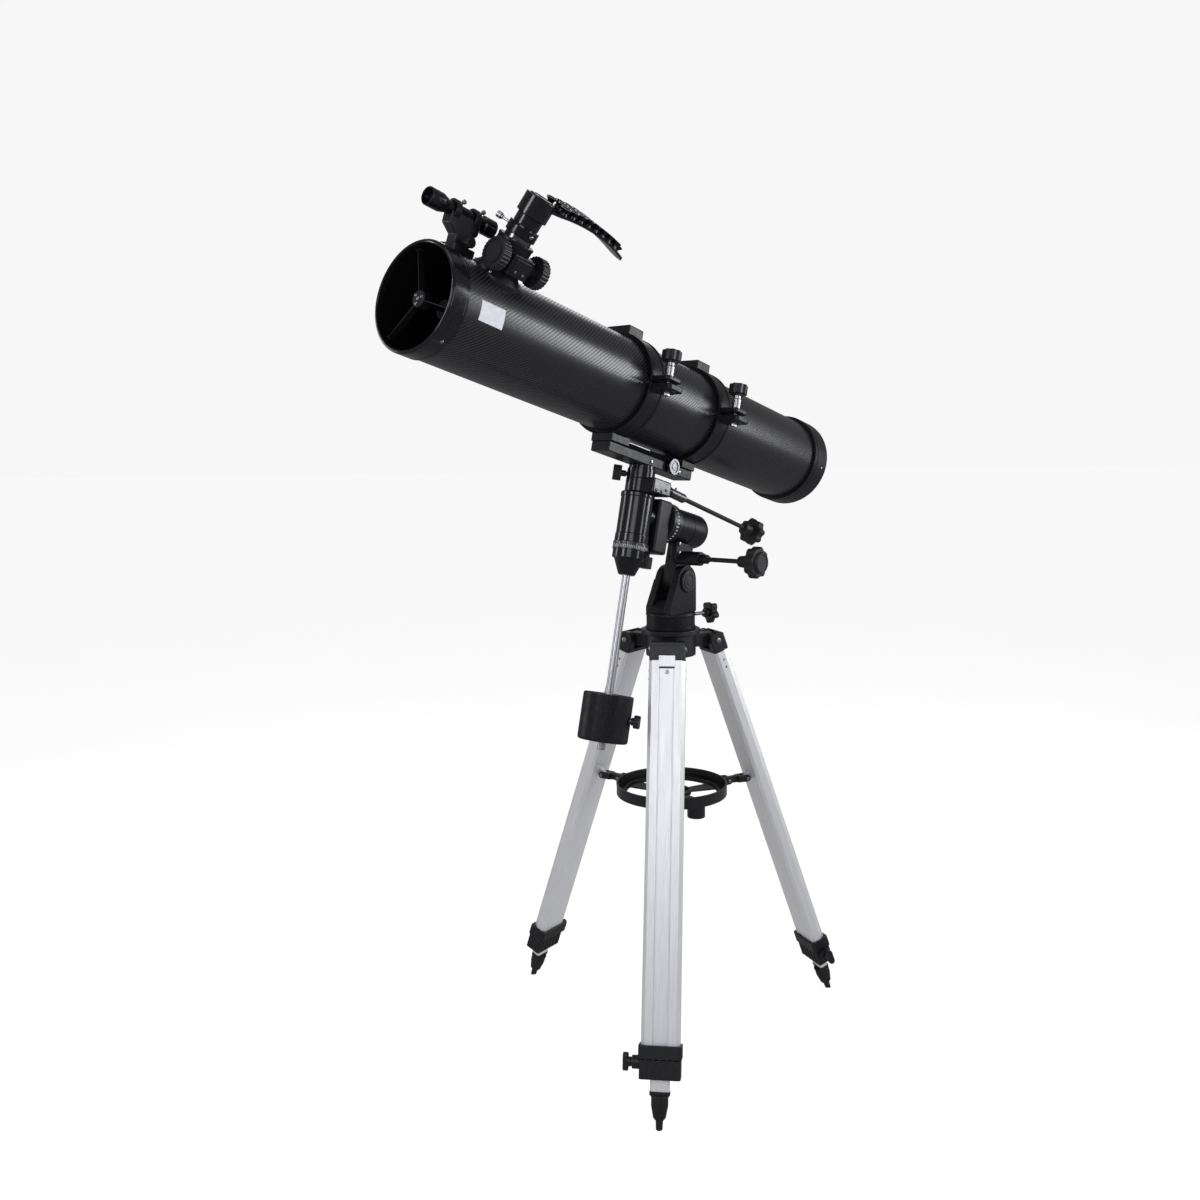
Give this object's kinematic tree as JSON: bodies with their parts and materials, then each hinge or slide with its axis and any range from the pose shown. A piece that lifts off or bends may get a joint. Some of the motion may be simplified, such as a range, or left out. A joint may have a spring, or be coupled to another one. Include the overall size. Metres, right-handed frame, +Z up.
{
  "type": "telescope",
  "caption": "Newtonian reflector telescope on a German equatorial mount with counterweight and slow-motion shafts, on a folding aluminium tripod with accessory tray.",
  "frame": {"origin": "middle of the bounding box's floor, on the plane that the three feet stand on", "axes": "+Z up; the front tripod leg points to -Y; the tube points to -Y and -X, 14 degrees up"},
  "size_m": [0.6178, 0.8162, 1.2773],
  "materials": {
    "tripod_hub": "satin black",
    "leg_bracket_front": "satin black",
    "leg_channel_front": "brushed silver anodised",
    "leg_clamp_front": "satin black",
    "inner_leg_front": "brushed silver anodised",
    "foot_front": "matt black",
    "leg_lock_screw_front": "satin black",
    "spreader_arm_front": "satin black",
    "leg_bracket_left": "satin black",
    "leg_channel_left": "brushed silver anodised",
    "leg_clamp_left": "satin black",
    "inner_leg_left": "brushed silver anodised",
    "foot_left": "matt black",
    "leg_lock_screw_left": "satin black",
    "spreader_arm_left": "satin black",
    "leg_bracket_right": "satin black",
    "leg_channel_right": "brushed silver anodised",
    "leg_clamp_right": "satin black",
    "inner_leg_right": "brushed silver anodised",
    "foot_right": "matt black",
    "leg_lock_screw_right": "satin black",
    "spreader_arm_right": "satin black",
    "accessory_tray": "satin black",
    "azimuth_base": "gloss black paint",
    "azimuth_lock_knob": "satin black",
    "latitude_bolt": "satin black",
    "ra_housing": "gloss black paint",
    "ra_setting_circle": "black with white graduations",
    "ra_slow_motion_knob": "matt black",
    "ra_lock_knob": "satin black",
    "ra_shaft": "gloss black paint",
    "dec_housing": "gloss black paint",
    "dec_slow_motion_knob": "matt black",
    "dec_lock_knob": "satin black",
    "dec_shaft": "gloss black paint",
    "dec_setting_circle": "black with white graduations",
    "counterweight_rod": "polished",
    "counterweight": "gloss black paint",
    "counterweight_screw": "satin black",
    "cradle_plate": "gloss black paint",
    "cradle_bolt": "polished",
    "ring_lower_front": "gloss black paint",
    "ring_upper_front": "gloss black paint",
    "ring_clamp_knob_front": "satin black",
    "ring_lower_rear": "gloss black paint",
    "ring_upper_rear": "gloss black paint",
    "ring_clamp_knob_rear": "satin black",
    "main_tube": "gloss black carbon-twill wrap",
    "front_ring": "gloss black",
    "rear_cell": "satin black",
    "primary_mirror": "front-aluminised glass",
    "spider": "matt black paint",
    "secondary_mirror": "front-aluminised glass",
    "focuser_base": "satin black",
    "drawtube": "polished, with a black ribbed collar",
    "eyepiece": "gloss black",
    "focus_knobs": "satin black",
    "phone_adapter": "satin black",
    "finder_scope": "gloss black",
    "finder_bracket": "satin black"
  },
  "bodies": {
    "hub": {"tripod_hub": "tripod_hub"},
    "leg_front": {"leg_bracket_front": "leg_bracket_front", "leg_channel_front": "leg_channel_front", "leg_clamp_front": "leg_clamp_front"},
    "inner_leg_front": {"inner_leg_front": "inner_leg_front", "foot_front": "foot_front"},
    "leg_screw_front": {"leg_lock_screw_front": "leg_lock_screw_front"},
    "arm_front": {"spreader_arm_front": "spreader_arm_front"},
    "leg_left": {"leg_bracket_left": "leg_bracket_left", "leg_channel_left": "leg_channel_left", "leg_clamp_left": "leg_clamp_left"},
    "inner_leg_left": {"inner_leg_left": "inner_leg_left", "foot_left": "foot_left"},
    "leg_screw_left": {"leg_lock_screw_left": "leg_lock_screw_left"},
    "arm_left": {"spreader_arm_left": "spreader_arm_left"},
    "leg_right": {"leg_bracket_right": "leg_bracket_right", "leg_channel_right": "leg_channel_right", "leg_clamp_right": "leg_clamp_right"},
    "inner_leg_right": {"inner_leg_right": "inner_leg_right", "foot_right": "foot_right"},
    "leg_screw_right": {"leg_lock_screw_right": "leg_lock_screw_right"},
    "arm_right": {"spreader_arm_right": "spreader_arm_right"},
    "tray": {"accessory_tray": "accessory_tray"},
    "azimuth": {"azimuth_base": "azimuth_base"},
    "azimuth_lock": {"azimuth_lock_knob": "azimuth_lock_knob"},
    "polar_head": {"ra_housing": "ra_housing"},
    "latitude_bolt": {"latitude_bolt": "latitude_bolt"},
    "ra_circle": {"ra_setting_circle": "ra_setting_circle"},
    "declination_head": {"dec_housing": "dec_housing", "ra_shaft": "ra_shaft"},
    "ra_slow_motion": {"ra_slow_motion_knob": "ra_slow_motion_knob"},
    "ra_lock": {"ra_lock_knob": "ra_lock_knob"},
    "declination_axle": {"dec_shaft": "dec_shaft", "dec_setting_circle": "dec_setting_circle", "counterweight_rod": "counterweight_rod", "cradle_plate": "cradle_plate", "ring_lower_front": "ring_lower_front", "ring_lower_rear": "ring_lower_rear"},
    "dec_slow_motion": {"dec_slow_motion_knob": "dec_slow_motion_knob"},
    "dec_lock": {"dec_lock_knob": "dec_lock_knob"},
    "counterweight": {"counterweight": "counterweight"},
    "counterweight_screw": {"counterweight_screw": "counterweight_screw"},
    "cradle_bolt": {"cradle_bolt": "cradle_bolt"},
    "ring_front": {"ring_upper_front": "ring_upper_front"},
    "ring_knob_front": {"ring_clamp_knob_front": "ring_clamp_knob_front"},
    "ring_rear": {"ring_upper_rear": "ring_upper_rear"},
    "ring_knob_rear": {"ring_clamp_knob_rear": "ring_clamp_knob_rear"},
    "tube": {"main_tube": "main_tube", "front_ring": "front_ring", "rear_cell": "rear_cell", "primary_mirror": "primary_mirror", "spider": "spider", "secondary_mirror": "secondary_mirror", "focuser_base": "focuser_base", "finder_scope": "finder_scope", "finder_bracket": "finder_bracket"},
    "drawtube": {"drawtube": "drawtube", "eyepiece": "eyepiece"},
    "focus_knobs": {"focus_knobs": "focus_knobs"},
    "phone_adapter": {"phone_adapter": "phone_adapter"}
  },
  "joints": [
    {"name": "leg_fold_front", "type": "hinge", "parent": "hub", "child": "leg_front", "pos_m": [0.03415, -0.00872, 0.6496], "axis": [-1, 0, 0], "range_deg": [-6.5, 0]},
    {"name": "inner_leg_slide_front", "type": "slide", "parent": "leg_front", "child": "inner_leg_front", "axis": [0, -0.342, -0.9397], "range_m": [0, 0.42]},
    {"name": "leg_screw_turn_front", "type": "hinge", "parent": "leg_front", "child": "leg_screw_front", "pos_m": [-0.00736, -0.21496, 0.08297], "axis": [-1, 0, 0], "continuous": true},
    {"name": "arm_turn_front", "type": "hinge", "parent": "leg_front", "child": "arm_front", "pos_m": [0.03415, -0.07552, 0.407], "axis": [-1, 0, 0], "range_deg": [-71.33, 0]},
    {"name": "leg_fold_left", "type": "hinge", "parent": "hub", "child": "leg_left", "pos_m": [-0.02795, 0.09883, 0.6496], "axis": [0.5, 0.866, 0], "range_deg": [-6.5, 0]},
    {"name": "inner_leg_slide_left", "type": "slide", "parent": "leg_left", "child": "inner_leg_left", "axis": [-0.2962, 0.171, -0.9397], "range_m": [0, 0.42]},
    {"name": "leg_screw_turn_left", "type": "hinge", "parent": "leg_left", "child": "leg_screw_left", "pos_m": [-0.18581, 0.23789, 0.08297], "axis": [0.5, 0.866, 0], "continuous": true},
    {"name": "arm_turn_left", "type": "hinge", "parent": "leg_left", "child": "arm_left", "pos_m": [-0.0858, 0.13223, 0.407], "axis": [0.5, 0.866, 0], "range_deg": [-71.33, 0]},
    {"name": "leg_fold_right", "type": "hinge", "parent": "hub", "child": "leg_right", "pos_m": [0.09624, 0.09883, 0.6496], "axis": [0.5, -0.866, 0], "range_deg": [-6.5, 0]},
    {"name": "inner_leg_slide_right", "type": "slide", "parent": "leg_right", "child": "inner_leg_right", "axis": [0.2962, 0.171, -0.9397], "range_m": [0, 0.42]},
    {"name": "leg_screw_turn_right", "type": "hinge", "parent": "leg_right", "child": "leg_screw_right", "pos_m": [0.2956, 0.16601, 0.08297], "axis": [0.5, -0.866, 0], "continuous": true},
    {"name": "arm_turn_right", "type": "hinge", "parent": "leg_right", "child": "arm_right", "pos_m": [0.15409, 0.13223, 0.407], "axis": [0.5, -0.866, 0], "range_deg": [-71.33, 0]},
    {"name": "tray_rise", "type": "slide", "parent": "hub", "child": "tray", "axis": [0, 0, 1], "range_m": [0, 0.02887]},
    {"name": "azimuth_turn", "type": "hinge", "parent": "hub", "child": "azimuth", "pos_m": [0.03415, 0.06298, 0], "axis": [0, 0, 1], "continuous": true},
    {"name": "azimuth_lock_turn", "type": "hinge", "parent": "azimuth", "child": "azimuth_lock", "pos_m": [0.03415, 0.06298, 0.69], "axis": [0.7701, 0.638, 0], "continuous": true},
    {"name": "latitude_tilt", "type": "hinge", "parent": "azimuth", "child": "polar_head", "pos_m": [0.04184, 0.07467, 0.747], "axis": [-0.8352, 0.5499, 0], "range_deg": [-5, 50]},
    {"name": "latitude_bolt_turn", "type": "hinge", "parent": "azimuth", "child": "latitude_bolt", "pos_m": [0.04184, 0.07467, 0.747], "axis": [0.8352, -0.5499, 0], "continuous": true},
    {"name": "ra_circle_turn", "type": "hinge", "parent": "polar_head", "child": "ra_circle", "pos_m": [0.0531, 0.09176, 0.82847], "axis": [-0.5333, -0.8101, 0.2436], "continuous": true},
    {"name": "ra_turn", "type": "hinge", "parent": "polar_head", "child": "declination_head", "pos_m": [0.0531, 0.09176, 0.82847], "axis": [-0.5333, -0.8101, 0.2436], "range_deg": [-70, 85]},
    {"name": "ra_slow_motion_turn", "type": "hinge", "parent": "polar_head", "child": "ra_slow_motion", "pos_m": [0.038, 0.06883, 0.78484], "axis": [0.8352, -0.5499, 0], "continuous": true},
    {"name": "ra_lock_turn", "type": "hinge", "parent": "polar_head", "child": "ra_lock", "pos_m": [-0.00296, 0.00662, 0.76746], "axis": [0.134, 0.2035, 0.9699], "continuous": true},
    {"name": "dec_turn", "type": "hinge", "parent": "declination_head", "child": "declination_axle", "pos_m": [-0.0141, -0.01031, 0.85916], "axis": [0.134, 0.2035, 0.9699], "continuous": true},
    {"name": "dec_slow_motion_turn", "type": "hinge", "parent": "declination_head", "child": "dec_slow_motion", "pos_m": [0.01958, -0.0137, 0.90111], "axis": [-0.5221, -0.793, 0.314], "continuous": true},
    {"name": "dec_lock_turn", "type": "hinge", "parent": "declination_head", "child": "dec_lock", "pos_m": [-0.0062, 0.0017, 0.91639], "axis": [-0.9803, -0.1164, 0.1598], "continuous": true},
    {"name": "counterweight_slide", "type": "slide", "parent": "declination_axle", "child": "counterweight", "axis": [0.134, 0.2035, 0.9699], "range_m": [0, 0.165]},
    {"name": "counterweight_screw_turn", "type": "hinge", "parent": "counterweight", "child": "counterweight_screw", "pos_m": [-0.05603, -0.07399, 0.55559], "axis": [0.9878, -0.1052, -0.1144], "continuous": true},
    {"name": "cradle_bolt_turn", "type": "hinge", "parent": "declination_axle", "child": "cradle_bolt", "pos_m": [0.02272, 0.04563, 0.92875], "axis": [0.8352, -0.5499, 0], "continuous": true},
    {"name": "ring_open_front", "type": "hinge", "parent": "declination_axle", "child": "ring_front", "pos_m": [-0.10615, 0.00264, 1.0496], "axis": [-0.5333, -0.8101, 0.2436], "range_deg": [0, 100]},
    {"name": "ring_knob_turn_front", "type": "hinge", "parent": "ring_front", "child": "ring_knob_front", "pos_m": [0.04252, -0.09524, 1.0496], "axis": [0.134, 0.2035, 0.9699], "continuous": true},
    {"name": "ring_open_rear", "type": "hinge", "parent": "declination_axle", "child": "ring_rear", "pos_m": [-0.01282, 0.1444, 1.00697], "axis": [-0.5333, -0.8101, 0.2436], "range_deg": [0, 100]},
    {"name": "ring_knob_turn_rear", "type": "hinge", "parent": "ring_rear", "child": "ring_knob_rear", "pos_m": [0.13585, 0.04652, 1.00697], "axis": [0.134, 0.2035, 0.9699], "continuous": true},
    {"name": "tube_turn", "type": "hinge", "parent": "declination_axle", "child": "tube", "pos_m": [0.00934, 0.0253, 1.02889], "axis": [-0.5333, -0.8101, 0.2436], "continuous": true},
    {"name": "focus_travel", "type": "slide", "parent": "tube", "child": "drawtube", "axis": [0.5781, -0.1388, 0.8041], "range_m": [-0.004, 0.04]},
    {"name": "focus_knob_turn", "type": "hinge", "parent": "tube", "child": "focus_knobs", "pos_m": [-0.12921, -0.31572, 1.18841], "axis": [-0.5333, -0.8101, 0.2436], "range_deg": [-460, 46]},
    {"name": "adapter_turn", "type": "hinge", "parent": "drawtube", "child": "phone_adapter", "pos_m": [-0.19812, -0.28981, 1.12366], "axis": [0.5781, -0.1388, 0.8041], "continuous": true}
  ],
  "couplings": [
    {"joint": "arm_turn_front", "follows": "leg_fold_front", "ratio": 10.942},
    {"joint": "leg_fold_left", "follows": "leg_fold_front", "ratio": 1},
    {"joint": "arm_turn_left", "follows": "leg_fold_front", "ratio": 10.942},
    {"joint": "leg_fold_right", "follows": "leg_fold_front", "ratio": 1},
    {"joint": "arm_turn_right", "follows": "leg_fold_front", "ratio": 10.942},
    {"joint": "tray_rise", "follows": "leg_fold_front", "m_per_rad": -0.25274},
    {"joint": "ra_slow_motion_turn", "follows": "ra_turn", "ratio": 100},
    {"joint": "dec_slow_motion_turn", "follows": "dec_turn", "ratio": 100},
    {"joint": "focus_knob_turn", "follows": "focus_travel", "rad_per_m": -200}
  ]
}
